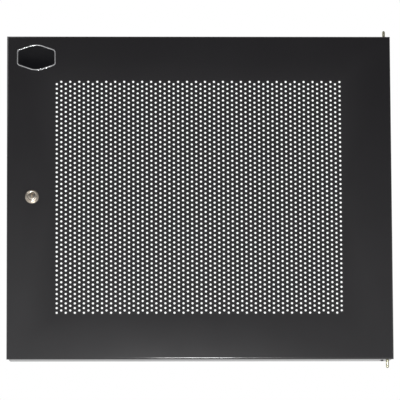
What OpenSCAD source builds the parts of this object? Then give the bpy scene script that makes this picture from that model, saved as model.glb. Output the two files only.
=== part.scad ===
// Perforated front door for a 19 inch wall cabinet.
// One folded steel sheet carries a cam lock, two sprung hinge pins, an earth stud and a blank badge.
// X runs from the lock side to the hinge side, Y from front to back and Z up. Units are millimetres.
// The origin lies on the hinge axis, at the outer face of the bottom flange.

/* [Door sheet] */
// Width over the side flanges
door_w = 530; // [400:1:700]
// Height over the top and bottom flanges
door_h = 450; // [300:1:900]
// Thickness of the folded sheet
sheet_t = 1.2; // [0.8:0.1:2]
// Depth from the front face to the back edge of the flanges
flange_depth = 25; // [24:0.5:40]
// Outer radius of the folds around the front
fold_r = 2.5; // [2.2:0.1:5]
// Relief at each corner, from the door's edge to the flange's end
corner_relief = 2.6; // [2:0.1:5]
// How much further each flange's end slants back towards its rear edge
flange_slant = 2.6; // [0:0.1:6]

/* [Perforation] */
// Diameter of the round holes
hole_d = 7.2; // [3:0.1:8]
// Number of hole columns
hole_columns = 36; // [10:2:40]
// Number of holes in each column
holes_per_column = 28; // [10:1:32]
// Width of the perforated field, between the outer columns' centres
field_w = 390.6; // [300:0.1:400]
// Height of the perforated field, between the highest and lowest holes' centres
field_h = 321.8; // [240:0.1:330]
// How far the field lies towards the lock side of the door's middle
field_shift = 1; // [0:0.1:5]

/* [Badge] */
// Width of the blank badge
badge_w = 52; // [30:1:58]
// Height of the badge
badge_h = 34; // [20:1:36]
// Thickness of the badge
badge_t = 1.8; // [1.2:0.1:3]
// Radius of its corners
badge_r = 5; // [2:0.5:8]
// Width of its raised rim
badge_rim = 1.8; // [1:0.1:3]
// Depth of the field inside the rim
badge_recess = 0.6; // [0.3:0.1:0.8]
// From the door's lock-side edge to the badge's middle
badge_inset = 41; // [36:1:60]
// From the door's top edge to the badge's middle
badge_drop = 29; // [26:1:40]

/* [Lock] */
// From the door's lock-side edge to the lock's axis
lock_inset = 34.6; // [30:0.1:45]
// Diameter of the collar that seats on the door
collar_d = 19; // [18:0.5:24]
// Thickness of that collar
collar_t = 2.2; // [1.5:0.1:4]
// Diameter of the round head
head_d = 15.4; // [14.5:0.1:17]
// How far the head stands out from the door
head_l = 9; // [6:0.5:14]
// Depth of the dished face around the plug
head_dish = 0.7; // [0.3:0.1:1.5]
// Diameter of the body behind the door
body_d = 16; // [15:0.5:16.5]
// Width across the body's two flats
body_flats = 14; // [13.2:0.1:14.4]
// Length of the body behind the door's front face
body_l = 25.6; // [25:0.1:32]
// Diameter of the plug
plug_d = 9; // [8.6:0.1:9.4]
// Diameter of the plug's front shoulder
shoulder_d = 10.6; // [10.2:0.1:11]
// Length of that shoulder
shoulder_l = 1.6; // [1:0.1:3]
// Width of the keyway
keyway_w = 1.8; // [1.2:0.1:2.4]
// Height of the keyway
keyway_h = 6.8; // [5:0.1:7.6]
// Depth of the keyway
keyway_l = 18; // [8:0.5:22]
// Width across the flats of the plug's square tail
tail_w = 6.2; // [5.8:0.1:6.3]
// Thickness of the stop plate
stop_t = 1; // [0.8:0.1:1.5]
// How far the key turns
lock_turn = 90; // [90:1:120]
// Width across the flats of the lock nut
lock_nut_w = 22; // [20:0.5:24]
// Thickness of the lock nut
lock_nut_t = 4; // [3:0.5:6]
// Thickness of the cam
cam_t = 2; // [1.5:0.1:3]
// Width of the cam's arm
cam_w = 13; // [10:0.5:15]
// From the lock's axis to the cam's tip
cam_reach = 31; // [24:0.5:34]
// Diameter of the cam's eye
cam_eye_d = 17; // [16:0.5:20]
// Thread diameter of the cam screw
screw_d = 4; // [3:0.5:4]
// Length of the cam screw below its head
screw_l = 10; // [8:0.5:14]
// Width across the flats of the screw's head
screw_head_w = 7; // [6:0.5:8]
// Height of the screw's head
screw_head_h = 2.8; // [2:0.1:4]
// Thickness of the cam's spring washer
cam_washer_t = 0.9; // [0.6:0.1:1.5]
// Outer diameter of the cam's spring washer
cam_washer_d = 8; // [8:0.1:9]

/* [Hinge pins] */
// From the door's hinge-side edge to the hinge axis
hinge_inset = 7.8; // [7.8:0.1:10]
// From the front face to the hinge axis
hinge_back = 14.8; // [13:0.1:15]
// Diameter of the nose that enters the cabinet's bush
nose_d = 4; // [3:0.1:4.4]
// Length of the nose outside the flange
nose_l = 10.5; // [6:0.1:11]
// Length of the nose's tapered tip
nose_tip = 1.6; // [0.5:0.1:2]
// Diameter of the pin's body
pin_d = 5; // [4.8:0.1:5.2]
// Radius of the bend above the pin's body, at its centre line
grip_bend = 6; // [5:0.5:9]
// From the hinge axis to the end of the pin's grip
grip_reach = 20; // [14:0.5:30]
// Thickness of the retaining clip
clip_t = 0.8; // [0.6:0.1:1.2]
// Outer diameter of the clip
clip_d = 9; // [8.6:0.1:9.2]
// Depth of the clip's groove
groove_depth = 0.6; // [0.3:0.1:0.8]
// Wire of the pin spring
spring_wire = 0.8; // [0.5:0.1:1]
// Outer diameter of the spring
spring_d = 8.6; // [7.6:0.1:8.8]
// Turns of the spring
spring_turns = 9; // [6:0.5:12]

/* [Hinge brackets] */
// Thickness of the bracket's sheet
bracket_t = 1.5; // [1:0.1:1.6]
// Height of the bracket over its two ears
bracket_h = 36; // [30:1:60]
// Width of the bracket from front to back
bracket_w = 17; // [14:0.5:18]
// Outer radius of the bracket's folds
bracket_fold = 2.5; // [2:0.1:3]
// From the hinge axis to the end of the ear on the flange
long_ear = 12; // [11.5:0.5:20]
// From the hinge axis to the end of the free ear
short_ear = 8; // [6:0.5:12]
// Radius of the ears' corners
ear_r = 3; // [1:0.5:5]
// Diameter of the bracket's rivet
rivet_d = 3; // [2.4:0.1:3.2]
// Diameter of the rivet's heads
rivet_head_d = 4.8; // [4.2:0.1:5]
// Height of the rivet's outer head
rivet_head_h = 1.3; // [0.8:0.1:1.6]
// Height of the head formed inside
rivet_tail_h = 0.8; // [0.5:0.1:1.2]
// From the hinge axis to the rivet
rivet_offset = 7.4; // [7.2:0.1:9]

/* [Earth stud] */
// Thread diameter of the welded stud
stud_d = 6; // [4:1:6]
// Length of the stud behind the sheet
stud_l = 16; // [12:1:20]
// Diameter of the stud's weld flange
stud_foot_d = 7.6; // [7.2:0.1:9]
// Thickness of the weld flange
stud_foot_t = 0.8; // [0.5:0.1:1.2]
// From the hinge axis to the stud
stud_offset = 36; // [32:1:50]
// From the door's lower edge to the stud
stud_height = 32; // [24:1:60]
// Thickness of the toothed washer
tooth_washer_t = 0.9; // [0.6:0.1:1.5]
// Outer diameter of the toothed washer
tooth_washer_d = 12; // [11:0.5:14]
// Width across the flats of the earth nut
earth_nut_w = 10; // [10:0.5:12]
// Thickness of the earth nut
earth_nut_t = 5; // [4:0.5:6]

/* [Clearances] */
// Radial clearance of a turning or sliding pin
running_fit = 0.1; // [0.02:0.01:0.1]
// Radial clearance of a fastener or body in its hole
hole_fit = 0.15; // [0.05:0.05:0.3]
// Gap between parts that move past each other
moving_gap = 0.3; // [0.2:0.05:0.5]

/* [Hidden] */
$fn = 48;

paint = [0.17, 0.17, 0.18];
zinc = [0.74, 0.75, 0.72];
chrome = [0.80, 0.79, 0.76];
badge_black = [0.06, 0.06, 0.07];

// A cut runs this far past the surface that it opens
over = 1;

// The door's faces
lock_edge = hinge_inset - door_w;
front = -hinge_back;
back = front + flange_depth;
sheet_back = front + sheet_t;

// Hole spacings: the columns are staggered by half a hole pitch
column_pitch = field_w / (hole_columns - 1);
half_pitch = field_h / (2 * holes_per_column - 1);

// The lock's axis, and the stations behind the front face
lock_x = lock_edge + lock_inset;
lock_z = door_h / 2;
stop_plate_at = body_l + moving_gap / 2;
cam_at = stop_plate_at + stop_t;
cam_washer_at = cam_at + cam_t;
screw_head_at = cam_washer_at + cam_washer_t;
tail_end = cam_washer_at - moving_gap / 2;
shoulder_at = head_dish - head_l;
dog_w = 2.4;
dog_l = 1.6;
dog_out = body_flats / 2 - 0.2;
dog_in = plug_d / 2 + 1.1;
dog_angle = 2 * asin(dog_w / 2 / dog_in);
slot_angle = lock_turn + dog_angle + 2;

// The pin's stations above the flange's outer face
ear_top = sheet_t + bracket_t;
clip_at = ear_top + moving_gap / 2;
free_ear_at = sheet_t + bracket_h - bracket_t;
pin_bend_at = free_ear_at + bracket_t + 2 * moving_gap;
spring_at = clip_at + clip_t + 0.02;
spring_l = free_ear_at - 0.02 - spring_at;
bracket_wall = hinge_inset - sheet_t;

// ---------- shared shapes ----------

// What a round of radius r takes off the corner at the origin
module corner_cut(r) {
  difference() {
    translate([-over, -over]) square(r + over);
    translate([r, r]) circle(r);
  }
}

// A rectangle whose two corners on the Y axis are rounded
module front_rounded(w, h, r) {
  difference() {
    square([w, h]);
    corner_cut(r);
    translate([0, h]) mirror([0, 1]) corner_cut(r);
  }
}

module rounded_rect(w, h, r) {
  difference() {
    square([w, h], center = true);
    for (x = [0, 1], y = [0, 1])
      mirror([x, 0]) mirror([0, y]) translate([-w / 2, -h / 2]) corner_cut(r);
  }
}

module hex_nut(across, bore, height) {
  linear_extrude(height) difference() {
    circle(d = across / cos(30), $fn = 6);
    circle(d = bore);
  }
}

// Places a piece on the lock's axis: its Z runs from the door's front face to the back
module on_lock() {
  translate([lock_x, front, lock_z]) rotate([-90, 0, 0]) children();
}

// Turns a piece of the lower hinge into its twin at the top of the door
module at_top() {
  translate([0, 0, door_h]) mirror([0, 0, 1]) children();
}

// ---------- the folded sheet ----------

// The door's outline drawn in by inset on every side, and open at the back by extra
module pan_block(inset, extra) {
  depth = flange_depth - inset + extra;
  r = fold_r - inset;
  translate([lock_edge + inset, front + inset, inset]) intersection() {
    // seen from above
    translate([door_w - 2 * inset, 0, 0]) rotate([0, 0, 90])
      linear_extrude(door_h - 2 * inset) front_rounded(depth, door_w - 2 * inset, r);
    // seen from the side
    rotate([90, 0, 90])
      linear_extrude(door_w - 2 * inset) front_rounded(depth, door_h - 2 * inset, r);
  }
}

// The relief that parts two flanges where they meet, at the corner on the origin
module corner_relief_cut(thickness) {
  slant = [
    [fold_r, -over],
    [fold_r, corner_relief],
    [flange_depth, corner_relief + flange_slant],
    [flange_depth + over, corner_relief + flange_slant],
    [flange_depth + over, -over]
  ];
  // through the side flange
  translate([-over, 0, 0]) rotate([90, 0, 90]) linear_extrude(thickness + over) polygon(slant);
  // through the top or bottom flange
  translate([0, 0, -over]) linear_extrude(thickness + over) polygon([for (p = slant) [p[1], p[0]]]);
}

// The staggered holes, cut through the front
module perforation() {
  translate([lock_edge + door_w / 2 - field_shift, sheet_back + over, door_h / 2]) rotate([90, 0, 0])
    linear_extrude(sheet_t + 2 * over)
      for (column = [0 : hole_columns - 1], hole = [0 : holes_per_column - 1])
        translate([
          (column - (hole_columns - 1) / 2) * column_pitch,
          (2 * hole + column % 2 - holes_per_column + 0.5) * half_pitch
        ]) circle(d = hole_d);
}

module lock_hole() {
  translate([0, 0, -over]) linear_extrude(sheet_t + 2 * over) intersection() {
    circle(d = body_d + 2 * hole_fit);
    square([body_flats + 2 * hole_fit, body_d + 4 * hole_fit], center = true);
  }
}

module flange_holes() {
  translate([0, 0, -over]) cylinder(h = sheet_t + 2 * over, d = pin_d + 2 * running_fit);
  translate([-rivet_offset, 0, -over]) cylinder(h = sheet_t + 2 * over, d = rivet_d + 2 * hole_fit);
}

module door_panel() {
  color(paint) difference() {
    pan_block(0, 0);
    pan_block(sheet_t, over);
    for (side = [0, 1], end = [0, 1])
      translate([lock_edge + side * door_w, front, end * door_h])
        mirror([side, 0, 0]) mirror([0, 0, end]) corner_relief_cut(sheet_t + over);
    flange_holes();
    at_top() flange_holes();
    on_lock() lock_hole();
    perforation();
  }
}

module badge() {
  color(badge_black)
    translate([lock_edge + badge_inset, front, door_h - badge_drop]) rotate([90, 0, 0]) difference() {
      linear_extrude(badge_t) rounded_rect(badge_w, badge_h, badge_r);
      translate([0, 0, badge_t - badge_recess]) linear_extrude(badge_recess + over)
        rounded_rect(badge_w - 2 * badge_rim, badge_h - 2 * badge_rim, badge_r - badge_rim);
    }
}

// ---------- the lock ----------

module lock_housing() {
  edge = 0.5;
  rim = 1.2;
  bore_d = plug_d + 2 * running_fit;
  seat_d = shoulder_d + 2 * running_fit;
  color(chrome) on_lock() difference() {
    union() {
      // head and collar in front of the door
      rotate_extrude() polygon([
        [0, 0],
        [collar_d / 2, 0],
        [collar_d / 2, edge - collar_t],
        [collar_d / 2 - edge, -collar_t],
        [head_d / 2, -collar_t],
        [head_d / 2, edge - head_l],
        [head_d / 2 - edge, -head_l],
        [head_d / 2 - rim, -head_l],
        [head_d / 2 - rim - head_dish / 2, head_dish - head_l],
        [0, head_dish - head_l]
      ]);
      // body with two flats behind it
      linear_extrude(body_l) intersection() {
        circle(d = body_d);
        square([body_flats, body_d + over], center = true);
      }
    }
    translate([0, 0, -head_l - over]) cylinder(h = head_l + body_l + 2 * over, d = bore_d);
    translate([0, 0, -head_l - over]) cylinder(h = over + head_dish + shoulder_l + moving_gap, d = seat_d);
    // the slot in which the stop plate's dog runs
    translate([0, 0, body_l - dog_l - moving_gap]) rotate([0, 0, -slot_angle / 2])
      rotate_extrude(angle = slot_angle) translate([dog_in - moving_gap, 0])
        square([body_d / 2, dog_l + moving_gap + over]);
  }
}

module lock_nut() {
  color(zinc) on_lock() translate([0, 0, sheet_t])
    hex_nut(lock_nut_w, body_d + 2 * hole_fit, lock_nut_t);
}

module lock_plug() {
  color(chrome) on_lock() difference() {
    union() {
      translate([0, 0, shoulder_at]) cylinder(h = shoulder_l, d = shoulder_d);
      translate([0, 0, shoulder_at]) cylinder(h = body_l - shoulder_at, d = plug_d);
      translate([0, 0, body_l - over]) linear_extrude(tail_end - body_l + over)
        intersection() {
          square(tail_w, center = true);
          circle(d = plug_d - 0.2);
        }
    }
    translate([0, 0, shoulder_at - over]) linear_extrude(keyway_l + over)
      square([keyway_w, keyway_h], center = true);
    // tapped hole for the cam screw
    translate([0, 0, screw_head_at - screw_l - moving_gap])
      cylinder(h = screw_l + over, d = screw_d + 2 * hole_fit);
  }
}

module square_hole_plate(outline_d, thickness) {
  linear_extrude(thickness) difference() {
    circle(d = outline_d);
    square(tail_w + 2 * hole_fit, center = true);
  }
}

module lock_stop_plate() {
  color(zinc) on_lock() {
    translate([0, 0, stop_plate_at]) square_hole_plate(body_flats, stop_t);
    // the dog at rest lies at one end of the housing's slot
    rotate([0, 0, lock_turn / 2]) translate([dog_in, -dog_w / 2, stop_plate_at - dog_l])
      cube([dog_out - dog_in, dog_w, dog_l + stop_t / 2]);
  }
}

module lock_cam() {
  tip_w = cam_w / 2;
  tip_cut = cam_w / 4;
  color(zinc) on_lock() translate([0, 0, cam_at]) linear_extrude(cam_t) difference() {
    union() {
      circle(d = cam_eye_d);
      polygon([
        [0, cam_w / 2],
        [tip_cut - cam_reach, cam_w / 2],
        [-cam_reach, tip_w / 2],
        [-cam_reach, -tip_w / 2],
        [tip_cut - cam_reach, -cam_w / 2],
        [0, -cam_w / 2]
      ]);
    }
    square(tail_w + 2 * hole_fit, center = true);
  }
}

module split_ring(outer, inner, height, gap) {
  linear_extrude(height) difference() {
    circle(d = outer);
    circle(d = inner);
    translate([0, -gap / 2]) square([outer, gap]);
  }
}

module cam_washer() {
  color(zinc) on_lock() translate([0, 0, cam_washer_at])
    split_ring(cam_washer_d, screw_d + 2 * hole_fit, cam_washer_t, 0.6);
}

module cam_screw() {
  color(zinc) on_lock() {
    translate([0, 0, screw_head_at - screw_l]) cylinder(h = screw_l + screw_head_h / 2, d = screw_d);
    translate([0, 0, screw_head_at]) linear_extrude(screw_head_h)
      circle(d = screw_head_w / cos(30), $fn = 6);
  }
}

// ---------- the hinge pins and what carries them ----------

module hinge_bracket() {
  span = bracket_wall + long_ear;
  color(zinc) difference() {
    // the folded channel, seen from the front and drawn from the hinge side
    translate([bracket_wall, bracket_w / 2, sheet_t]) rotate([90, 0, 0]) mirror([1, 0, 0])
      linear_extrude(bracket_w) difference() {
        front_rounded(span, bracket_h, bracket_fold);
        translate([bracket_t, bracket_t])
          front_rounded(span, bracket_h - 2 * bracket_t, bracket_fold - bracket_t);
        translate([bracket_wall + short_ear, bracket_h / 2]) square([span, bracket_h]);
      }
    translate([0, 0, sheet_t - over])
      cylinder(h = bracket_h + 2 * over, d = pin_d + 2 * running_fit);
    translate([-rivet_offset, 0, sheet_t - over])
      cylinder(h = bracket_t + 2 * over, d = rivet_d + 2 * hole_fit);
    // rounded ends of the two ears
    for (y = [0, 1]) mirror([0, y, 0]) {
      translate([-long_ear, -bracket_w / 2, sheet_t - over]) linear_extrude(bracket_t + 2 * over)
        corner_cut(ear_r);
      translate([-short_ear, -bracket_w / 2, free_ear_at - over]) linear_extrude(bracket_t + 2 * over)
        corner_cut(ear_r);
    }
  }
}

module bracket_rivet() {
  dome_r = (pow(rivet_head_d / 2, 2) + pow(rivet_head_h, 2)) / (2 * rivet_head_h);
  color(zinc) translate([-rivet_offset, 0, 0]) {
    intersection() {
      translate([0, 0, dome_r - rivet_head_h]) sphere(dome_r);
      translate([0, 0, -rivet_head_h]) cylinder(h = rivet_head_h, d = rivet_head_d + over);
    }
    cylinder(h = ear_top, d = rivet_d);
    translate([0, 0, ear_top]) cylinder(h = rivet_tail_h, d = rivet_head_d);
  }
}

module hinge_pin() {
  r = pin_d / 2;
  groove_r = r - groove_depth;
  groove_top = clip_at + clip_t + 0.1;
  color(zinc) {
    rotate_extrude() polygon([
      [0, -nose_l],
      [nose_d / 2 - nose_tip / 2, -nose_l],
      [nose_d / 2, nose_tip - nose_l],
      [nose_d / 2, 0],
      [r, 0],
      [r, clip_at - 0.1],
      [groove_r, clip_at - 0.1],
      [groove_r, groove_top],
      [r, groove_top],
      [r, pin_bend_at],
      [0, pin_bend_at]
    ]);
    // the bend, then the grip for a finger
    translate([-grip_bend, 0, pin_bend_at]) rotate([90, 0, 0])
      rotate_extrude(angle = 90) translate([grip_bend, 0]) circle(r);
    translate([-grip_bend, 0, pin_bend_at + grip_bend]) rotate([0, -90, 0])
      cylinder(h = grip_reach - grip_bend, r = r);
  }
}

module pin_clip() {
  color(zinc) translate([0, 0, clip_at])
    split_ring(clip_d, pin_d - 2 * groove_depth + 2 * hole_fit, clip_t, pin_d / 2);
}

// ---------- the springs ----------

// Height of the wire's centre after so many turns: the end turns lie close, the others open
dead_turns = 1;
dead_pitch = 1.15 * spring_wire;
open_pitch = (spring_l - spring_wire - 2 * dead_turns * dead_pitch) / (spring_turns - 2 * dead_turns);
function spring_height(turn) =
  spring_wire / 2 + min(turn, dead_turns) * dead_pitch
  + max(0, min(turn, spring_turns - dead_turns) - dead_turns) * open_pitch
  + max(0, turn - spring_turns + dead_turns) * dead_pitch;

wire_sides = 6;
steps_per_turn = 16;

module pin_spring() {
  steps = spring_turns * steps_per_turn;
  coil_r = (spring_d - spring_wire) / 2;
  points = [
    for (i = [0 : steps], k = [0 : wire_sides - 1])
      let (
        turn = i / steps_per_turn,
        around = 360 * turn,
        section = 360 * k / wire_sides,
        r = coil_r + spring_wire / 2 * cos(section)
      )
      [r * cos(around), r * sin(around), spring_height(turn) + spring_wire / 2 * sin(section)]
  ];
  function at(i, k) = i * wire_sides + k % wire_sides;
  skin = [
    for (i = [0 : steps - 1], k = [0 : wire_sides - 1])
      each [[at(i, k), at(i + 1, k + 1), at(i + 1, k)], [at(i, k), at(i, k + 1), at(i + 1, k + 1)]]
  ];
  start_cap = [for (k = [wire_sides - 1 : -1 : 0]) at(0, k)];
  end_cap = [for (k = [0 : wire_sides - 1]) at(steps, k)];
  color(zinc) polyhedron(points, concat(skin, [start_cap, end_cap]));
}

// ---------- the earth stud ----------

module on_stud(behind) {
  translate([-stud_offset, sheet_back + behind, stud_height]) rotate([-90, 0, 0]) children();
}

module earth_stud() {
  tip = 0.6;
  color(zinc) on_stud(0) rotate_extrude() polygon([
    [0, 0],
    [stud_foot_d / 2, 0],
    [stud_foot_d / 2, stud_foot_t],
    [stud_d / 2, stud_foot_t],
    [stud_d / 2, stud_l - tip],
    [stud_d / 2 - tip, stud_l],
    [0, stud_l]
  ]);
}

module earth_washer() {
  teeth = 12;
  tooth_gap = 1;
  tooth_l = 1.4;
  color(zinc) on_stud(stud_foot_t) linear_extrude(tooth_washer_t) difference() {
    circle(d = tooth_washer_d);
    circle(d = stud_d + 2 * hole_fit);
    for (i = [0 : teeth - 1]) rotate(360 * i / teeth)
      translate([tooth_washer_d / 2 - tooth_l, -tooth_gap / 2]) square([tooth_l + over, tooth_gap]);
  }
}

module earth_nut() {
  color(zinc) on_stud(stud_foot_t + tooth_washer_t)
    hex_nut(earth_nut_w, stud_d + 2 * hole_fit, earth_nut_t);
}

door_panel();
badge();
lock_housing();
lock_nut();
lock_plug();
lock_stop_plate();
lock_cam();
cam_washer();
cam_screw();
hinge_bracket();  // hinge_bracket_lower
at_top() hinge_bracket();  // hinge_bracket_upper
bracket_rivet();  // bracket_rivet_lower
at_top() bracket_rivet();  // bracket_rivet_upper
hinge_pin();  // hinge_pin_lower
at_top() hinge_pin();  // hinge_pin_upper
pin_clip();  // pin_clip_lower
at_top() pin_clip();  // pin_clip_upper
translate([0, 0, spring_at]) pin_spring();  // pin_spring_lower
translate([0, 0, door_h - spring_at - spring_l]) pin_spring();  // pin_spring_upper
earth_stud();
earth_washer();
earth_nut();
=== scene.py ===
# %% [markdown]
# # A perforated rack door
#
# The door of a wall-mounted 19 inch cabinet is one folded steel sheet. It carries a cam lock, two
# sprung hinge pins, an earth stud and a small blank badge. The construction comes from the packed
# CAD model: its nodes are the frame, and every piece made here sits exactly where its node is.
# A node whose shape is already right keeps its mesh and gets a finish; the others are modelled
# again with the round edges, threads and true hole count that a close look expects.

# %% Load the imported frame
import math

import bmesh
import bpy
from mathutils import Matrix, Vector


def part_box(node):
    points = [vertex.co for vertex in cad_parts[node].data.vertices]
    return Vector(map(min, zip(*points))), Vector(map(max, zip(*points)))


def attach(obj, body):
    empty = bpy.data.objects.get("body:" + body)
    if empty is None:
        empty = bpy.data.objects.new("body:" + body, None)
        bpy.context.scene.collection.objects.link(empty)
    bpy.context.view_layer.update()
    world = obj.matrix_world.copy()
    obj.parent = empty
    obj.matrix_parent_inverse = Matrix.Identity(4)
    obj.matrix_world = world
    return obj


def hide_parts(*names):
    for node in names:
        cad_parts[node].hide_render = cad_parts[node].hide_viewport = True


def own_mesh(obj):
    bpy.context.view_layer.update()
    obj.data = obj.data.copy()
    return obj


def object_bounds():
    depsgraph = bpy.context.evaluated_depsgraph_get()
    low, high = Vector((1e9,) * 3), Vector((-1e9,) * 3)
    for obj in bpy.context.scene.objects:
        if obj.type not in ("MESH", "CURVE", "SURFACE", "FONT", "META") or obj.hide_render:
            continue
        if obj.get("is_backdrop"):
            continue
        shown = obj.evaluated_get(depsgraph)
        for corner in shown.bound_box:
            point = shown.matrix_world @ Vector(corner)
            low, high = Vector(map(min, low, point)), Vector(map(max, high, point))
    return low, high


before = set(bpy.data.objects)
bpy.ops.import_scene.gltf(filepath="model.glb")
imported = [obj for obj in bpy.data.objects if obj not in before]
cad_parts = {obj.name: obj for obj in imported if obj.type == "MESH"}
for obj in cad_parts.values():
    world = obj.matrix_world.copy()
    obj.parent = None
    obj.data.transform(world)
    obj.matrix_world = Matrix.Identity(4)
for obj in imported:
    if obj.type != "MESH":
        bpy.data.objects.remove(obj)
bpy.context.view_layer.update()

MM = 0.001

# %% [markdown]
# The frame gives every station. The door's faces come from the sheet's own box, and the axes of the
# lock and of the hinge come from the nodes that turn or slide on them.

# %% Stations of the door
door_low, door_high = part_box("door_panel")
door_centre = (door_low + door_high) / 2
door_width = door_high.x - door_low.x
door_height = door_high.z - door_low.z
front = door_low.y
back = door_high.y
sheet_thickness = 1.2 * MM
sheet_back = front + sheet_thickness
fold_radius = 2.5 * MM

plug_low, plug_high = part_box("lock_plug")
lock_x = (plug_low.x + plug_high.x) / 2
lock_z = (plug_low.z + plug_high.z) / 2
print("door", [round(v / MM, 1) for v in (door_width, door_height, back - front)])

# %% [markdown]
# ## Small helpers
#
# Operators act on whatever is selected, so each step starts from a clean selection. `choose` marks
# vertices, edges or faces of the mesh in edit mode by their place, which is what a hand with a mouse
# would do by looking.

# %% Selection helpers


def deselect():
    """Leaves edit mode and selects nothing."""
    if bpy.context.mode != "OBJECT":
        bpy.ops.object.mode_set(mode="OBJECT")
    bpy.ops.object.select_all(action="DESELECT")


def activate(obj):
    """Makes obj the only selected and the active object."""
    deselect()
    obj.select_set(True)
    bpy.context.view_layer.objects.active = obj
    return obj


def edit(obj):
    """Opens obj in edit mode."""
    activate(obj)
    bpy.ops.object.mode_set(mode="EDIT")


def choose(kind, test):
    """In edit mode, selects the vertices, edges or faces for which test(centre, item) holds."""
    bpy.ops.mesh.select_mode(type=kind)
    bpy.ops.mesh.select_all(action="DESELECT")
    mesh = bmesh.from_edit_mesh(bpy.context.object.data)
    items = {"VERT": mesh.verts, "EDGE": mesh.edges, "FACE": mesh.faces}[kind]
    for item in items:
        if kind == "VERT":
            centre = item.co
        elif kind == "EDGE":
            centre = (item.verts[0].co + item.verts[1].co) / 2
        else:
            centre = item.calc_center_median()
        if test(centre, item):
            item.select_set(True)
    mesh.select_flush_mode()
    bmesh.update_edit_mesh(bpy.context.object.data)


def settle(name):
    """Leaves edit mode, names the active piece and moves its place into its mesh."""
    bpy.ops.object.mode_set(mode="OBJECT")
    bpy.ops.object.transform_apply(location=True, rotation=True, scale=True)
    piece = bpy.context.object
    piece.name = name
    piece.data.name = name
    return piece


def apply_modifier(piece, kind, **settings):
    """Adds a modifier with these settings and applies it."""
    activate(piece)
    modifier = piece.modifiers.new(kind.lower(), kind)
    for key, value in settings.items():
        setattr(modifier, key, value)
    bpy.ops.object.modifier_apply(modifier=modifier.name)


def smooth(piece, degrees=35):
    """Smooth shading, with the edges sharper than this angle kept crisp."""
    activate(piece)
    bpy.ops.object.shade_smooth_by_angle(angle=math.radians(degrees))
    return piece


def close_up(piece):
    """Merges doubled vertices and turns every face outwards."""
    edit(piece)
    bpy.ops.mesh.select_all(action="SELECT")
    bpy.ops.mesh.remove_doubles(threshold=0.002 * MM)
    bpy.ops.mesh.normals_make_consistent(inside=False)
    bpy.ops.object.mode_set(mode="OBJECT")
    return piece


def report(piece):
    """Prints a piece's size in millimetres and its triangles."""
    corners = [Vector(corner) for corner in piece.bound_box]
    size = [round((max(c[i] for c in corners) - min(c[i] for c in corners)) / MM, 2) for i in range(3)]
    triangles = sum(len(face.vertices) - 2 for face in piece.data.polygons)
    print(piece.name, "size", size, "triangles", triangles)


# %% [markdown]
# ## The camera
#
# The camera stands low, about six metres away, and looks slightly up at the door through a long
# lens, so the bottom flange shows as a thin strip and the holes look a little flattened.

# %% Camera
camera_from_door = Vector((-174.1, -5916.9, -979.8)) * MM
aim_from_door = Vector((0.6, 0.0, -4.5)) * MM
camera_roll = -0.278
lens_mm = 392.6

front_centre = Vector((door_centre.x, front, door_centre.z))
camera_data = bpy.data.cameras.new("camera")
camera_data.lens = lens_mm
camera_data.clip_end = 100
camera = bpy.data.objects.new("camera", camera_data)
bpy.context.scene.collection.objects.link(camera)
camera.location = front_centre + camera_from_door
line_of_sight = front_centre + aim_from_door - camera.location
camera.rotation_euler = line_of_sight.to_track_quat("-Z", "Y").to_euler()
camera.rotation_euler.rotate_axis("Z", math.radians(camera_roll))
bpy.context.scene.camera = camera
print("camera", [round(v, 3) for v in camera.location], "lens", lens_mm)

# %% [markdown]
# ## The perforated sheet
#
# The sheet could be cut with thousands of cylinders, but a punched pattern repeats, so one hole is
# modelled with its share of the sheet and then repeated: a ring of twelve sides for the hole, pulled
# out to a six-sided cell that fits its neighbours like a honeycomb. Two cells make the staggered
# pair of columns that two Array modifiers spread over the field.

# %% Pattern of the perforation
hole_radius = 1.6 * MM
hole_sides = 12
columns = 64
holes_per_column = 50
side_margin = 69.7 * MM
end_margin = 64.1 * MM
field_shift = 1.0 * MM
column_pitch = (door_width - 2 * side_margin) / (columns - 1)
half_pitch = (door_height - 2 * end_margin) / (2 * holes_per_column - 1)
first_x = door_centre.x - field_shift - (columns - 1) / 2 * column_pitch
first_z = door_centre.z - (2 * holes_per_column - 1) / 2 * half_pitch
print("pitches", round(column_pitch / MM, 3), round(2 * half_pitch / MM, 3))
print("holes", columns * holes_per_column)

# %% One cell: a hole in its six-sided share of the sheet
# A point shared by three cells is equally far from their three holes.
cell_side_x = (column_pitch**2 + half_pitch**2) / (2 * column_pitch)
cell_top_x = cell_side_x - half_pitch**2 / column_pitch

deselect()
bpy.ops.mesh.primitive_circle_add(
    vertices=hole_sides, radius=hole_radius, fill_type="NOTHING", rotation=(math.pi / 2, 0, 0)
)
sheet = settle("door_sheet")
edit(sheet)
bpy.ops.mesh.select_all(action="SELECT")
bpy.ops.mesh.extrude_edges_move()
bpy.ops.transform.resize(value=(cell_side_x / hole_radius,) * 3, center_override=(0, 0, 0))


def on_rim(point):
    return point.length > (hole_radius + cell_side_x) / 2


def between_corners(point, item):
    """A rim vertex that isn't one of the cell's six corners."""
    return on_rim(point) and round(math.degrees(math.atan2(point.z, point.x))) % 60 != 0


choose("VERT", between_corners)
bpy.ops.mesh.dissolve_verts()
choose("VERT", lambda point, item: on_rim(point) and abs(point.z) > half_pitch / 2)
bpy.ops.transform.resize(
    value=(2 * cell_top_x / cell_side_x, 1, half_pitch / (cell_side_x * math.sin(math.pi / 3))),
    center_override=(0, 0, 0),
)
print("cell corners", round(cell_side_x / MM, 2), round(cell_top_x / MM, 2))

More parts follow.
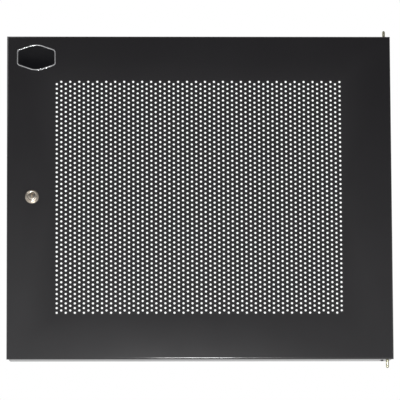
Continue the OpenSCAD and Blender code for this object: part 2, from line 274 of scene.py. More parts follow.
# %% The cell's staggered twin, then both repeated over the field
bpy.ops.mesh.select_all(action="SELECT")
bpy.ops.transform.translate(value=(first_x, front, first_z))
bpy.ops.mesh.duplicate_move(TRANSFORM_OT_translate={"value": (column_pitch, 0, half_pitch)})
bpy.ops.mesh.select_all(action="SELECT")
bpy.ops.mesh.remove_doubles(threshold=0.01 * MM)
bpy.ops.object.mode_set(mode="OBJECT")
for count, step in ((holes_per_column, (0, 0, 2 * half_pitch)), (columns // 2, (2 * column_pitch, 0, 0))):
    apply_modifier(
        sheet,
        "ARRAY",
        count=count,
        use_relative_offset=False,
        use_constant_offset=True,
        constant_offset_displace=step,
        use_merge_vertices=True,
        merge_threshold=0.01 * MM,
    )
report(sheet)

# %% [markdown]
# The flat round the field is filled in between the honeycomb's outline and a rectangle, which is the
# front as far as its folds. The folds follow as short steps round a quarter circle, and the flanges
# as one long step back. Solidify then gives this skin the sheet's thickness, inwards, which also
# makes the wall of every hole.

# %% The plain margin round the field
flat_width = door_width - 2 * fold_radius
flat_height = door_height - 2 * fold_radius


def on_field_outline(point, item):
    """An open edge that isn't a hole's: it lies further than the hole's radius from every centre."""
    if item.is_wire:
        return True
    if not item.is_boundary:
        return False
    near = round((point.x - first_x) / column_pitch)
    distances = []
    for column in (near - 1, near, near + 1):
        shift = column % 2
        row = 2 * round(((point.z - first_z) / half_pitch - shift) / 2) + shift
        distances.append(
            math.hypot(point.x - first_x - column * column_pitch, point.z - first_z - row * half_pitch)
        )
    return min(distances) > 1.2 * hole_radius


edit(sheet)
bpy.ops.mesh.select_all(action="DESELECT")
bpy.ops.mesh.primitive_plane_add(size=1, location=front_centre, rotation=(math.pi / 2, 0, 0))
bpy.ops.transform.resize(value=(flat_width, 1, flat_height), center_override=front_centre)
bpy.ops.mesh.delete(type="ONLY_FACE")
choose("EDGE", on_field_outline)
bpy.ops.mesh.fill(use_beauty=True)
bpy.ops.mesh.select_all(action="SELECT")
bpy.ops.mesh.normals_make_consistent(inside=False)

# %% Folds and flanges
fold_steps = 6


def on_flat_outline(point, item):
    """An open edge on the rectangle where the folds begin."""
    off_x = abs(abs(point.x - door_centre.x) - flat_width / 2)
    off_z = abs(abs(point.z - door_centre.z) - flat_height / 2)
    return item.is_boundary and min(off_x, off_z) < 0.01 * MM


choose("EDGE", on_flat_outline)
width, height, depth = flat_width, flat_height, 0.0
for step in range(1, fold_steps + 1):
    angle = math.pi / 2 * step / fold_steps
    next_depth = fold_radius * (1 - math.cos(angle))
    grown = 2 * fold_radius * math.sin(angle)
    bpy.ops.mesh.extrude_edges_move(TRANSFORM_OT_translate={"value": (0, next_depth - depth, 0)})
    bpy.ops.transform.resize(
        value=((flat_width + grown) / width, 1, (flat_height + grown) / height),
        center_override=front_centre,
    )
    width, height, depth = flat_width + grown, flat_height + grown, next_depth
bpy.ops.mesh.extrude_edges_move(TRANSFORM_OT_translate={"value": (0, back - front - fold_radius, 0)})
bpy.ops.object.mode_set(mode="OBJECT")
apply_modifier(
    sheet,
    "SOLIDIFY",
    thickness=sheet_thickness,
    offset=-1,
    use_even_offset=True,
    use_quality_normals=True,
)
report(sheet)

# %% [markdown]
# The holes for the lock, the hinge pins and the rivets are drilled, and the corners are relieved
# between the flanges, with one cutter made of simple solids. The relief starts behind the fold, so
# the front corner stays closed, as on the real sheet.

# %% Drills and corner reliefs
hinge_hole_radius = 2.6 * MM
rivet_hole_radius = 1.65 * MM
lock_hole_radius = 8.15 * MM
lock_flat = 7.15 * MM
rivet_low, rivet_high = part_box("bracket_rivet_lower")
rivet_x = (rivet_low.x + rivet_high.x) / 2
relief = 2.6 * MM
relief_slant = 2.6 * MM
drill_depth = 3 * MM
cutters = []


def drill(radius, at, rotation=(0, 0, 0)):
    """A cylinder that cuts a round hole."""
    deselect()
    bpy.ops.mesh.primitive_cylinder_add(
        vertices=32, radius=radius, depth=drill_depth, location=at, rotation=rotation
    )
    cutters.append(bpy.context.object)
    return bpy.context.object


for flange_z in (door_low.z, door_high.z):
    drill(hinge_hole_radius, (0, 0, flange_z))
    drill(rivet_hole_radius, (rivet_x, 0, flange_z))

# the lock's hole has two flats, so that the body can't turn
lock_drill = drill(lock_hole_radius, (0, 0, 0), (math.pi / 2, 0, 0))
bpy.ops.object.transform_apply(location=True, rotation=True, scale=True)
edit(lock_drill)
for side in (-1, 1):
    choose("VERT", lambda point, item: side * point.x > lock_flat)
    bpy.ops.transform.resize(value=(0, 1, 1), center_override=(side * lock_flat, 0, 0))
bpy.ops.mesh.select_all(action="SELECT")
bpy.ops.mesh.remove_doubles(threshold=0.001 * MM)
bpy.ops.transform.translate(value=(lock_x, front, lock_z))

# %% Wedges for the four corners
beyond = 1 * MM
wedge_y = (front + fold_radius + back + beyond) / 2
wedge_length = back + beyond - front - fold_radius
for side, edge_x in ((-1, door_low.x), (1, door_high.x)):
    for end, edge_z in ((-1, door_low.z), (1, door_high.z)):
        # along each edge the wedge widens towards the back
        for along, across in ((0, 2), (2, 0)):
            deselect()
            bpy.ops.mesh.primitive_cube_add(size=1)
            wedge = bpy.context.object
            size = [0.0, wedge_length, 0.0]
            size[along] = relief + beyond
            size[across] = sheet_thickness + 2 * beyond
            sides = (side, 0, end)
            edges = (edge_x, 0, edge_z)
            place = [0.0, wedge_y, 0.0]
            place[along] = edges[along] - sides[along] * (relief - beyond) / 2
            place[across] = edges[across] - sides[across] * sheet_thickness / 2
            wedge.scale = size
            wedge.location = place
            bpy.ops.object.transform_apply(location=True, rotation=True, scale=True)
            edit(wedge)
            inner = edges[along] - sides[along] * relief
            slant_to = relief_slant * wedge_length / (wedge_length - beyond)

            def far_inner(point, item):
                return point.y > wedge_y and abs(point[along] - inner) < 0.01 * MM

            choose("VERT", far_inner)
            shift = [0.0, 0.0, 0.0]
            shift[along] = -sides[along] * slant_to
            bpy.ops.transform.translate(value=shift)
            bpy.ops.object.mode_set(mode="OBJECT")
            cutters.append(wedge)

for cutter in cutters:
    apply_modifier(sheet, "BOOLEAN", operation="DIFFERENCE", object=cutter, solver="MANIFOLD")
    bpy.data.objects.remove(cutter)
smooth(sheet, 40)
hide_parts("door_panel")
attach(sheet, "door")
report(sheet)

# %% [markdown]
# ## The badge
#
# The badge is a small plate shaped as a stretched hexagon with round corners. Its polished rim stands
# up round a glossy black field, which is left blank. A circle of six sides is pulled to the outline,
# a vertex bevel rounds first its two points and then its four corners, and two insets make the rim.

# %% Badge
badge_low, badge_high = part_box("badge")
badge_x = door_low.x + 40.4 * MM
badge_z = door_high.z - 30.0 * MM
badge_half_width = 26.7 * MM
badge_side = 10.6 * MM
badge_point = 19.7 * MM
badge_point_round = 8.5 * MM
badge_corner_round = 3.4 * MM
badge_rim = 1.5 * MM
badge_recess = 0.6 * MM
badge_thickness = badge_high.y - badge_low.y

deselect()
bpy.ops.mesh.primitive_circle_add(
    vertices=6, radius=badge_point, fill_type="NGON", rotation=(math.pi / 2, 0, 0)
)
badge = settle("badge_plate")
edit(badge)
choose("VERT", lambda point, item: abs(point.x) > badge_point / 2)
corner_x = max(abs(vertex.co.x) for vertex in bmesh.from_edit_mesh(badge.data).verts)
bpy.ops.transform.resize(
    value=(badge_half_width / corner_x, 1, badge_side / (badge_point / 2)), center_override=(0, 0, 0)
)
choose("VERT", lambda point, item: abs(point.x) < badge_point / 4)
bpy.ops.mesh.bevel(offset=badge_point_round, segments=8, affect="VERTICES")
choose("VERT", lambda point, item: abs(point.x) > badge_half_width - 0.1 * MM)
bpy.ops.mesh.bevel(offset=badge_corner_round, segments=8, affect="VERTICES")
bpy.ops.mesh.select_all(action="SELECT")
bpy.ops.transform.translate(value=(badge_x, badge_high.y, badge_z))
bpy.ops.mesh.extrude_region_move(TRANSFORM_OT_translate={"value": (0, -badge_thickness, 0)})
bpy.ops.mesh.inset(thickness=badge_rim, depth=0)
bpy.ops.mesh.extrude_region_move(TRANSFORM_OT_translate={"value": (0, badge_recess, 0)})
bpy.ops.object.mode_set(mode="OBJECT")
close_up(badge)
apply_modifier(badge, "BEVEL", width=0.3 * MM, segments=3, limit_method="ANGLE", angle_limit=math.radians(50))
smooth(badge, 40)
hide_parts("badge")
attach(badge, "door")
report(badge)

# %% [markdown]
# ## The lock
#
# A cam lock is mostly lathe work. `turned` does on a mesh what a lathe does on a bar: it starts with
# a circle and takes it from station to station, each time as wide as the profile says there. The
# profile runs from the front of the door to the back, along +Y.

# %% The lathe


def turned(name, profile, sides=48, closed=True):
    """A body of revolution about the Y axis. profile is a list of (radius, station) in millimetres."""
    deselect()
    radius, station = profile[0]
    bpy.ops.mesh.primitive_circle_add(
        vertices=sides, radius=radius * MM, fill_type="NOTHING", rotation=(math.pi / 2, 0, 0)
    )
    bpy.ops.object.transform_apply(location=True, rotation=True, scale=True)
    bpy.ops.object.mode_set(mode="EDIT")
    bpy.ops.mesh.select_all(action="SELECT")
    bpy.ops.transform.translate(value=(0, station * MM, 0))
    if closed:
        bpy.ops.mesh.edge_face_add()
        bpy.ops.mesh.select_all(action="SELECT")
        bpy.ops.mesh.select_mode(type="EDGE")
    for next_radius, next_station in profile[1:]:
        bpy.ops.mesh.extrude_edges_move(
            TRANSFORM_OT_translate={"value": (0, (next_station - station) * MM, 0)}
        )
        bpy.ops.transform.resize(
            value=(next_radius / radius, 1, next_radius / radius), center_override=(0, 0, 0)
        )
        radius, station = next_radius, next_station
    if closed:
        bpy.ops.mesh.edge_face_add()
    else:
        bpy.ops.mesh.select_all(action="SELECT")
        bpy.ops.mesh.remove_doubles(threshold=0.001 * MM)
    return close_up(settle(name))


def move_to(piece, x, y, z):
    """Shifts a piece's mesh, so that its object stays at the origin."""
    activate(piece)
    piece.location = (x, y, z)
    bpy.ops.object.transform_apply(location=True, rotation=True, scale=True)
    return piece


def cut(piece, cutter, operation="DIFFERENCE"):
    """Cuts a piece with another, which is used up."""
    apply_modifier(piece, "BOOLEAN", operation=operation, object=cutter, solver="MANIFOLD")
    bpy.data.objects.remove(cutter)
    return piece


def block(low, high):
    """A box between two corners, in millimetres."""
    deselect()
    bpy.ops.mesh.primitive_cube_add(size=1)
    made = bpy.context.object
    made.scale = [(b - a) * MM for a, b in zip(low, high)]
    made.location = [(a + b) / 2 * MM for a, b in zip(low, high)]
    bpy.ops.object.transform_apply(location=True, rotation=True, scale=True)
    return made


# %% A thread for a turned piece


def thread(piece, root, crest, start, end, pitch):
    """Winds a ridge round a piece about the Y axis, between two stations, all in millimetres."""
    deselect()
    bpy.ops.mesh.primitive_circle_add(
        vertices=3, radius=MM, fill_type="NOTHING", rotation=(0, 0, -math.pi / 2)
    )
    ridge = settle("thread_ridge")
    edit(ridge)
    bpy.ops.mesh.select_all(action="SELECT")
    # a triangle round a circle of 1 mm is 1.5 mm tall and the square root of 3 wide
    sunk = 0.15
    tall = (crest - root + sunk) / 1.5
    wide = 0.94 * pitch / math.sqrt(3)
    bpy.ops.transform.resize(value=(tall, wide, 1), center_override=(0, 0, 0))
    bpy.ops.transform.translate(value=((crest - tall) * MM, (start + pitch / 2) * MM, 0))
    bpy.ops.object.mode_set(mode="OBJECT")
    apply_modifier(
        ridge,
        "SCREW",
        axis="Y",
        angle=2 * math.pi,
        screw_offset=pitch * MM,
        iterations=int((end - start - pitch) / pitch),
        steps=32,
        render_steps=32,
    )
    edit(ridge)
    bpy.ops.mesh.select_all(action="SELECT")
    bpy.ops.mesh.remove_doubles(threshold=0.001 * MM)
    bpy.ops.mesh.fill_holes(sides=3)
    bpy.ops.mesh.normals_make_consistent(inside=False)
    bpy.ops.object.mode_set(mode="OBJECT")
    report(ridge)
    return cut(piece, ridge, "UNION")


# %% [markdown]
# The housing's head has a dished face round the plug and a collar that seats on the paint. Behind
# the sheet its body has two flats. It is one closed profile: out along the head and the body, and
# back through the bore.

# %% Lock housing
housing_low, housing_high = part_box("lock_housing")
head_front = (housing_low.y - front) / MM
body_back = (housing_high.y - front) / MM
collar_radius = (housing_high.x - housing_low.x) / 2 / MM
head_radius = 7.7
body_radius = 8.0
body_root = 7.4
body_flat = 7.0
thread_pitch = 1.0
seat_radius = 5.4
bore_radius = 4.6
collar_front = -2.2
seat_depth = 1.9

housing = turned(
    "lock_body",
    [
        (seat_radius, head_front + 0.72),
        (6.0, head_front + 0.70),
        (6.35, head_front + 0.55),
        (6.6, head_front + 0.12),
        (6.75, head_front),
        (7.2, head_front),
        (7.5, head_front + 0.12),
        (head_radius, head_front + 0.45),
        (head_radius, collar_front),
        (collar_radius - 0.6, collar_front),
        (collar_radius - 0.2, collar_front + 0.25),
        (collar_radius, collar_front + 0.7),
        (collar_radius, 0),
        (body_radius, 0),
        (body_radius, 5.4),
        (body_root, 5.9),
        (body_root, body_back),
        (bore_radius, body_back),
        (bore_radius, head_front + seat_depth + 0.7),
        (seat_radius, head_front + seat_depth + 0.7),
        (seat_radius, head_front + 0.72),
    ],
    sides=64,
    closed=False,
)
thread(housing, body_root, body_radius, 6.2, body_back - 0.6, thread_pitch)
for side in (-1, 1):
    low, high = sorted((side * body_flat, side * 12))
    cut(housing, block((low, 0, -12), (high, body_back + 1, 12)))
move_to(housing, lock_x, front, lock_z)
smooth(housing, 30)
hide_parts("lock_housing")
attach(housing, "door")
report(housing)

# %% [markdown]
# The plug fills the bore. Its front shoulder is a touch proud of the dish, and the keyway's mouth is
# widened a little so that the key finds it.

# %% Lock plug
plug_front = (plug_low.y - front) / MM
plug_tail = (plug_high.y - front) / MM
shoulder_radius = 5.3
plug_radius = 4.5
tail_half = 3.1
keyway_half_width = 0.9
keyway_half_height = 3.4
keyway_depth = 18

plug = turned(
    "lock_barrel_plug",
    [
        (shoulder_radius - 0.35, plug_front),
        (shoulder_radius - 0.1, plug_front + 0.1),
        (shoulder_radius, plug_front + 0.35),
        (shoulder_radius, plug_front + 1.6),
        (plug_radius, plug_front + 1.6),
        (plug_radius, body_back),
        (plug_radius - 0.1, body_back),
        (plug_radius - 0.1, plug_tail),
    ],
)
for axis_x, axis_z in ((1, 0), (-1, 0), (0, 1), (0, -1)):
    low = [-6.0, body_back, -6.0]
    high = [6.0, plug_tail + 1, 6.0]
    if axis_x:
        low[0], high[0] = sorted((axis_x * tail_half, axis_x * 6.0))
    else:
        low[2], high[2] = sorted((axis_z * tail_half, axis_z * 6.0))
    cut(plug, block(low, high))
keyway = block(
    (-keyway_half_width, plug_front - 1, -keyway_half_height),
    (keyway_half_width, plug_front + keyway_depth, keyway_half_height),
)
edit(keyway)
choose("FACE", lambda point, item: point.y < (plug_front - 0.5) * MM)
# the mouth: the slot flares over its first half millimetre
bpy.ops.transform.translate(value=(0, 1.5 * MM, 0))
bpy.ops.mesh.extrude_region_move(TRANSFORM_OT_translate={"value": (0, -0.6 * MM, 0)})
bpy.ops.transform.resize(value=(1.5, 1, 1.1), center_override=(0, 0, 0))
bpy.ops.mesh.extrude_region_move(TRANSFORM_OT_translate={"value": (0, -0.9 * MM, 0)})
bpy.ops.object.mode_set(mode="OBJECT")
cut(plug, keyway)
screw_bore = turned("screw_bore", [(2.15, plug_tail - 11), (2.15, plug_tail + 1)], sides=24)
cut(plug, screw_bore)
move_to(plug, lock_x, front, lock_z)
smooth(plug, 30)
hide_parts("lock_plug")
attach(plug, "lock_barrel")
report(plug)

# %% [markdown]
# ## The small hardware
#
# Nuts, plates, clips, pins and brackets already have their true shape in the CAD model, but its edges
# are knife sharp. Real ones are sheared, turned or bent, and every edge is a little round. So a copy
# of each node's mesh is merged, its flat faces are joined up again and a Bevel modifier rounds its
# sharp edges by a fraction of a millimetre.

# %% A copy of a node with soft edges

def softened(node, name, body, edge=0.2, sharper_than=35):
    """Replaces a node with a copy whose edges are rounded by edge, in millimetres."""
    deselect()
    source = bpy.data.objects[node]
    piece = source.copy()
    piece.data = source.data.copy()
    bpy.context.scene.collection.objects.link(piece)
    piece.name = name
    piece.data.name = name
    piece.data.materials.clear()
    edit(piece)
    bpy.ops.mesh.select_all(action="SELECT")
    bpy.ops.mesh.remove_doubles(threshold=0.002 * MM)
    bpy.ops.mesh.customdata_custom_splitnormals_clear()
    bpy.ops.mesh.dissolve_limited(angle_limit=math.radians(1))
    bpy.ops.object.mode_set(mode="OBJECT")
    apply_modifier(
        piece,
        "BEVEL",
        width=edge * MM,
        segments=3,
        limit_method="ANGLE",
        angle_limit=math.radians(sharper_than),
        use_clamp_overlap=True,
    )
    smooth(piece, 30)
    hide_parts(node)
    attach(piece, body)
    report(piece)
    return piece


# %% Lock hardware, brackets, rivets and the earth stud
soft_pieces = {}
for node, name, body, slot_name, edge in (
    ("lock_nut", "lock_hex_nut", "door", "zinc_plate", 0.35),
    ("lock_stop_plate", "stop_plate", "lock_barrel", "zinc_plate", 0.15),
    ("lock_cam", "cam_lever", "lock_barrel", "zinc_plate", 0.3),
    ("cam_washer", "split_washer", "lock_barrel", "zinc_plate", 0.12),
    ("cam_screw", "cam_hex_screw", "lock_barrel", "zinc_plate", 0.25),
    ("hinge_bracket_lower", "pin_bracket_lower", "door", "zinc_sheet", 0.2),
    ("hinge_bracket_upper", "pin_bracket_upper", "door", "zinc_sheet", 0.2),
    ("bracket_rivet_lower", "rivet_lower", "door", "rivet_steel", 0.2),
    ("bracket_rivet_upper", "rivet_upper", "door", "rivet_steel", 0.2),
    ("hinge_pin_lower", "bent_pin_lower", "lower_pin", "pin_steel", 0.25),
    ("hinge_pin_upper", "bent_pin_upper", "upper_pin", "pin_steel", 0.25),
    ("pin_clip_lower", "clip_lower", "lower_pin", "spring_steel", 0.12),
    ("pin_clip_upper", "clip_upper", "upper_pin", "spring_steel", 0.12),
    ("earth_washer", "toothed_washer", "door", "zinc_plate", 0.12),
    ("earth_nut", "stud_nut", "door", "zinc_plate", 0.3),
):
    soft_pieces[node] = softened(node, name, body, edge)

# %% [markdown]
# The earth stud is an M6 thread on a weld flange. It is turned to the thread's root, and the ridge is
# wound on it, so that the nut has something to hold.

# %% Earth stud
stud_low, stud_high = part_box("earth_stud")
stud_length = (stud_high.y - stud_low.y) / MM
stud_foot = (stud_high.x - stud_low.x) / 2 / MM
stud = turned(
    "weld_stud",
    [
        (stud_foot - 0.15, 0),
        (stud_foot, 0.15),
        (stud_foot, 0.65),
        (stud_foot - 0.15, 0.8),
        (2.95, 0.8),
        (2.95, 2.2),
        (2.5, 2.6),
        (2.5, stud_length - 0.5),
        (2.1, stud_length),
    ],
    sides=40,
)
thread(stud, 2.5, 2.98, 2.6, stud_length - 0.6, 1.0)
move_to(stud, (stud_low.x + stud_high.x) / 2, stud_low.y, (stud_low.z + stud_high.z) / 2)
smooth(stud, 30)
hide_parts("earth_stud")
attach(stud, "door")
report(stud)
soft_pieces["earth_stud"] = stud

# %% [markdown]
# A pin spring is a coil of round wire between the clip and the bracket's free ear. The CAD coil has
# six flat sides, so a copy of it is swollen a little, to make up for what smoothing takes off, and
# subdivided into round wire. On the real door, pulling a pin shortens its spring towards the free ear; this
# coil keeps one shape.

# %% Pin springs
for place_name, joint, anchor_high in (("lower", "lower_pin_pull", True), ("upper", "upper_pin_pull", False)):
    node = "pin_spring_" + place_name
    deselect()
    source = bpy.data.objects[node]
    coil = source.copy()
    coil.data = source.data.copy()
    bpy.context.scene.collection.objects.link(coil)
    coil.name = "coil_spring_" + place_name
    coil.data.name = coil.name
    edit(coil)
    bpy.ops.mesh.select_all(action="SELECT")
    bpy.ops.mesh.remove_doubles(threshold=0.002 * MM)
    bpy.ops.mesh.customdata_custom_splitnormals_clear()
    bpy.ops.mesh.tris_convert_to_quads(face_threshold=math.radians(60), shape_threshold=math.radians(80))
    bpy.ops.transform.shrink_fatten(value=0.05 * MM)
    bpy.ops.object.mode_set(mode="OBJECT")
    apply_modifier(coil, "SUBSURF", levels=2, render_levels=2)
    smooth(coil, 80)
    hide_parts(node)
    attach(coil, "door")
    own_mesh(coil)
    report(coil)
    soft_pieces[node] = coil

# %% [markdown]
# ## Materials
#
# Real finishes are never one flat value. A shared group turns an object's own coordinates into a soft
# cloud of colour, a patchy roughness and a fine relief, and each material sets its own scales.

# %% The shared group: mottled surface
mottle = bpy.data.node_groups.new("mottled_surface", "ShaderNodeTree")
for name, kind in (
    ("Colour", "NodeSocketColor"),
    ("Second Colour", "NodeSocketColor"),
    ("Patch Scale", "NodeSocketFloat"),
    ("Grain Scale", "NodeSocketFloat"),
    ("Smooth Roughness", "NodeSocketFloat"),
    ("Dull Roughness", "NodeSocketFloat"),
):
    mottle.interface.new_socket(name, in_out="INPUT", socket_type=kind)
for name, kind in (
    ("Colour", "NodeSocketColor"),
    ("Roughness", "NodeSocketFloat"),
    ("Height", "NodeSocketFloat"),
):
    mottle.interface.new_socket(name, in_out="OUTPUT", socket_type=kind)
into = mottle.nodes.new("NodeGroupInput")
out = mottle.nodes.new("NodeGroupOutput")
place = mottle.nodes.new("ShaderNodeTexCoord")
patches = mottle.nodes.new("ShaderNodeTexNoise")
patches.inputs["Detail"].default_value = 4.0
patches.inputs["Roughness"].default_value = 0.6
grain = mottle.nodes.new("ShaderNodeTexNoise")
grain.inputs["Detail"].default_value = 3.0
contrast = mottle.nodes.new("ShaderNodeMapRange")
contrast.inputs["From Min"].default_value = 0.3
contrast.inputs["From Max"].default_value = 0.7
blend = mottle.nodes.new("ShaderNodeMix")
blend.data_type = "RGBA"
rough = mottle.nodes.new("ShaderNodeMapRange")
link = mottle.links.new
link(place.outputs["Object"], patches.inputs["Vector"])
link(place.outputs["Object"], grain.inputs["Vector"])
link(into.outputs["Patch Scale"], patches.inputs["Scale"])
link(into.outputs["Grain Scale"], grain.inputs["Scale"])
link(patches.outputs["Fac"], contrast.inputs["Value"])
link(contrast.outputs["Result"], blend.inputs["Factor"])
link(into.outputs["Colour"], blend.inputs[6])
link(into.outputs["Second Colour"], blend.inputs[7])
link(contrast.outputs["Result"], rough.inputs["Value"])
link(into.outputs["Smooth Roughness"], rough.inputs["To Min"])
link(into.outputs["Dull Roughness"], rough.inputs["To Max"])
link(blend.outputs[2], out.inputs["Colour"])
link(rough.outputs["Result"], out.inputs["Roughness"])
link(grain.outputs["Fac"], out.inputs["Height"])

# %% One finish from the group


def finish(
    name, colour, second, patch, grain_scale, roughness, relief, metallic=0.0, coat=0.0, specular=0.5
):
    """A material: two colours in patches, roughness between two values and relief in millimetres."""
    material = bpy.data.materials.new(name)
    material.use_nodes = True
    nodes = material.node_tree.nodes
    links = material.node_tree.links
    shader = nodes["Principled BSDF"]
    shader.inputs["Metallic"].default_value = metallic
    shader.inputs["Coat Weight"].default_value = coat
    shader.inputs["Coat Roughness"].default_value = 0.08
    shader.inputs["Specular IOR Level"].default_value = specular
    surface = nodes.new("ShaderNodeGroup")
    surface.node_tree = mottle
    surface.inputs["Colour"].default_value = (*colour, 1)
    surface.inputs["Second Colour"].default_value = (*second, 1)
    surface.inputs["Patch Scale"].default_value = patch
    surface.inputs["Grain Scale"].default_value = grain_scale
    surface.inputs["Smooth Roughness"].default_value = roughness[0]
    surface.inputs["Dull Roughness"].default_value = roughness[1]
    bump = nodes.new("ShaderNodeBump")
    bump.inputs["Distance"].default_value = relief * MM
    links.new(surface.outputs["Colour"], shader.inputs["Base Color"])
    links.new(surface.outputs["Roughness"], shader.inputs["Roughness"])
    links.new(surface.outputs["Height"], bump.inputs["Height"])
    links.new(bump.outputs["Normal"], shader.inputs["Normal"])
    print("finish", name)
    return material


def wear(piece, material):
    """Gives a piece one material all over."""
    piece.data.materials.clear()
    piece.data.materials.append(material)


# %% [markdown]
# The door is satin black powder coat: nearly black, with the faint orange peel that the powder leaves
# as it melts. The lock is nickel plated and slightly warm. Zinc is bluish and patchy, the pins have a
# yellow olive passivation, springs and clips are oiled steel and the rivets are blackened.

# %% The finishes
paint = finish(
    "door_paint",
    (0.0098, 0.0092, 0.0104),
    (0.0112, 0.0106, 0.0120),
    7,
    900,
    (0.20, 0.23),
    0.010,
    coat=0.45,
    specular=0.3,
)
badge_black = finish(
    "badge_field", (0.003, 0.003, 0.004), (0.005, 0.005, 0.006), 30, 1500, (0.16, 0.22), 0.002, specular=0.14
)
badge_silver = finish(
    "badge_rim", (0.72, 0.72, 0.73), (0.62, 0.62, 0.64), 80, 2500, (0.16, 0.26), 0.003, metallic=1
)
nickel = finish(
    "lock_chrome", (0.64, 0.58, 0.50), (0.52, 0.47, 0.41), 140, 3500, (0.14, 0.27), 0.004, metallic=1
)
zinc = finish(
    "zinc_plate", (0.60, 0.63, 0.66), (0.47, 0.50, 0.52), 160, 2200, (0.26, 0.42), 0.006, metallic=1
)
zinc_sheet = finish(
    "zinc_sheet", (0.58, 0.60, 0.61), (0.44, 0.46, 0.48), 90, 1200, (0.32, 0.50), 0.008, metallic=1
)
olive = finish(
    "pin_steel", (0.42, 0.40, 0.29), (0.28, 0.28, 0.20), 220, 2600, (0.28, 0.44), 0.006, metallic=1
)
spring_steel = finish(
    "spring_steel", (0.30, 0.30, 0.31), (0.20, 0.20, 0.21), 300, 3000, (0.24, 0.40), 0.004, metallic=1
)
blackened = finish(
    "rivet_steel", (0.020, 0.020, 0.022), (0.034, 0.033, 0.034), 400, 3000, (0.30, 0.45), 0.006
)

wear(sheet, paint)
wear(housing, nickel)
wear(plug, nickel)
slot_finishes = {
    "zinc_plate": zinc,
    "zinc_sheet": zinc_sheet,
    "rivet_steel": blackened,
    "pin_steel": olive,
    "spring_steel": spring_steel,
}
for node, piece in soft_pieces.items():
    if node.startswith("hinge_pin"):
        wear(piece, olive)
    elif node.startswith(("pin_clip", "pin_spring")):
        wear(piece, spring_steel)
    elif node.startswith("bracket_rivet"):
        wear(piece, blackened)
    elif node.startswith("hinge_bracket"):
        wear(piece, zinc_sheet)
    else:
        wear(piece, zinc)

# the badge has two finishes: its recessed field is black, the rest is polished
wear(badge, badge_silver)
badge.data.materials.append(badge_black)
field_y = badge_low.y + badge_recess
for face in badge.data.polygons:
    in_field = abs(face.center.y - field_y) < 0.05 * MM and face.normal.y < -0.9
    face.material_index = 1 if in_field else 0

# %% [markdown]
# ## Studio
#
# The floor is pale and far below the door, so the low camera never looks through it. The world is
# white for the camera and behind the door, and falls off upwards in front, so that the black paint
# keeps a soft gradient. A low area light draws the bright line along the bottom fold.

# %% Floor
floor_z = door_low.z - 1.2
deselect()
bpy.ops.mesh.primitive_plane_add(size=60, location=(0, 0, floor_z))
floor = settle("floor")
floor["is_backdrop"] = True
floor_material = bpy.data.materials.new("pale_floor")
floor_material.use_nodes = True
nodes = floor_material.node_tree.nodes
links = floor_material.node_tree.links
surface = nodes["Principled BSDF"]
surface.inputs["Roughness"].default_value = 0.8
tone = nodes.new("ShaderNodeTexNoise")
tone.inputs["Scale"].default_value = 2.0
ramp = nodes.new("ShaderNodeMapRange")
ramp.inputs["To Min"].default_value = 0.80
ramp.inputs["To Max"].default_value = 0.84
glow = nodes.new("ShaderNodeEmission")
glow.inputs["Strength"].default_value = 1.0
path = nodes.new("ShaderNodeLightPath")
bright = nodes.new("ShaderNodeMath")
bright.operation = "MAXIMUM"
seen_share = nodes.new("ShaderNodeMath")
seen_share.operation = "MULTIPLY"
seen_share.inputs[1].default_value = 0.6
mix = nodes.new("ShaderNodeMixShader")
place = nodes.new("ShaderNodeTexCoord")
links.new(place.outputs["Object"], tone.inputs["Vector"])
links.new(tone.outputs["Fac"], ramp.inputs["Value"])
links.new(ramp.outputs["Result"], surface.inputs["Base Color"])
links.new(path.outputs["Is Camera Ray"], seen_share.inputs[0])
links.new(seen_share.outputs[0], bright.inputs[0])
links.new(path.outputs["Is Glossy Ray"], bright.inputs[1])
links.new(bright.outputs[0], mix.inputs["Fac"])
links.new(surface.outputs[0], mix.inputs[1])
links.new(glow.outputs[0], mix.inputs[2])
links.new(mix.outputs[0], nodes["Material Output"].inputs["Surface"])
wear(floor, floor_material)

# %% World
world = bpy.data.worlds.new("studio")
bpy.context.scene.world = world
world.use_nodes = True
tree = world.node_tree
tree.nodes.clear()
output = tree.nodes.new("ShaderNodeOutputWorld")
white = tree.nodes.new("ShaderNodeBackground")
soft = tree.nodes.new("ShaderNodeBackground")
mirrored = tree.nodes.new("ShaderNodeBackground")
for_gloss = tree.nodes.new("ShaderNodeMixShader")
for_camera = tree.nodes.new("ShaderNodeMixShader")
path = tree.nodes.new("ShaderNodeLightPath")
place = tree.nodes.new("ShaderNodeTexCoord")
parts = tree.nodes.new("ShaderNodeSeparateXYZ")
fall = tree.nodes.new("ShaderNodeMapRange")
fall.interpolation_type = "SMOOTHSTEP"
fall.inputs["From Min"].default_value = 0.06
fall.inputs["From Max"].default_value = 0.26
fall.inputs["To Min"].default_value = 0.70
fall.inputs["To Max"].default_value = 0.14
behind = tree.nodes.new("ShaderNodeMapRange")
behind.inputs["From Min"].default_value = -0.15
behind.inputs["From Max"].default_value = 0.15
sideways = tree.nodes.new("ShaderNodeMapRange")
sideways.inputs["From Min"].default_value = -0.05
sideways.inputs["From Max"].default_value = 0.14
sideways.inputs["To Min"].default_value = 1.05
sideways.inputs["To Max"].default_value = 0.72
dimmed = tree.nodes.new("ShaderNodeMath")
dimmed.operation = "MULTIPLY"
room = tree.nodes.new("ShaderNodeMix")
room.data_type = "FLOAT"
room.inputs[3].default_value = 1.0
white.inputs["Color"].default_value = (1, 1, 1, 1)
soft.inputs["Color"].default_value = (0.7, 0.7, 0.7, 1)
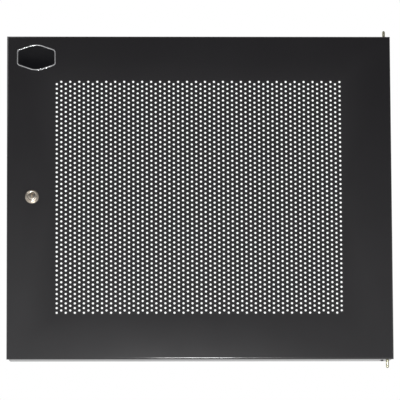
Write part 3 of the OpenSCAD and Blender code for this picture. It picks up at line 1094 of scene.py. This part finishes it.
mirrored.inputs["Color"].default_value = (1, 1, 1, 1)
tree.links.new(place.outputs["Generated"], parts.inputs["Vector"])
tree.links.new(parts.outputs["Z"], fall.inputs["Value"])
tree.links.new(parts.outputs["Y"], behind.inputs["Value"])
tree.links.new(behind.outputs["Result"], room.inputs[0])
tree.links.new(parts.outputs["X"], sideways.inputs["Value"])
tree.links.new(fall.outputs["Result"], dimmed.inputs[0])
tree.links.new(sideways.outputs["Result"], dimmed.inputs[1])
tree.links.new(dimmed.outputs[0], room.inputs[2])
tree.links.new(room.outputs[0], mirrored.inputs["Strength"])
tree.links.new(path.outputs["Is Glossy Ray"], for_gloss.inputs["Fac"])
tree.links.new(soft.outputs[0], for_gloss.inputs[1])
tree.links.new(mirrored.outputs[0], for_gloss.inputs[2])
tree.links.new(path.outputs["Is Camera Ray"], for_camera.inputs["Fac"])
tree.links.new(for_gloss.outputs[0], for_camera.inputs[1])
tree.links.new(white.outputs[0], for_camera.inputs[2])
tree.links.new(for_camera.outputs[0], output.inputs["Surface"])

# %% Lamps


def softbox(name, at, towards, width, height, watts, tint=(1, 1, 1)):
    """A rectangular area light that the camera doesn't see."""
    data = bpy.data.lights.new(name, "AREA")
    data.shape = "RECTANGLE"
    data.size = width
    data.size_y = height
    data.energy = watts
    data.color = tint
    lamp = bpy.data.objects.new(name, data)
    bpy.context.scene.collection.objects.link(lamp)
    lamp.location = at
    lamp.rotation_euler = (towards - at).to_track_quat("-Z", "Y").to_euler()
    lamp.visible_camera = False
    return lamp


bottom_left = Vector((door_centre.x - 0.05, front, door_low.z))
softbox("fold_light", bottom_left + Vector((0.035, -1.6, -0.32)), bottom_left, 0.34, 0.16, 16.0)
softbox("key_light", front_centre + Vector((-1.4, -1.8, 1.6)), front_centre, 0.9, 0.9, 8.0)

# %% Render settings that belong to the look
bpy.context.scene.view_settings.view_transform = "Standard"

# %% Sizes
low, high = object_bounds()
print("visual box", [round(v / MM, 2) for v in (*low, *high)])
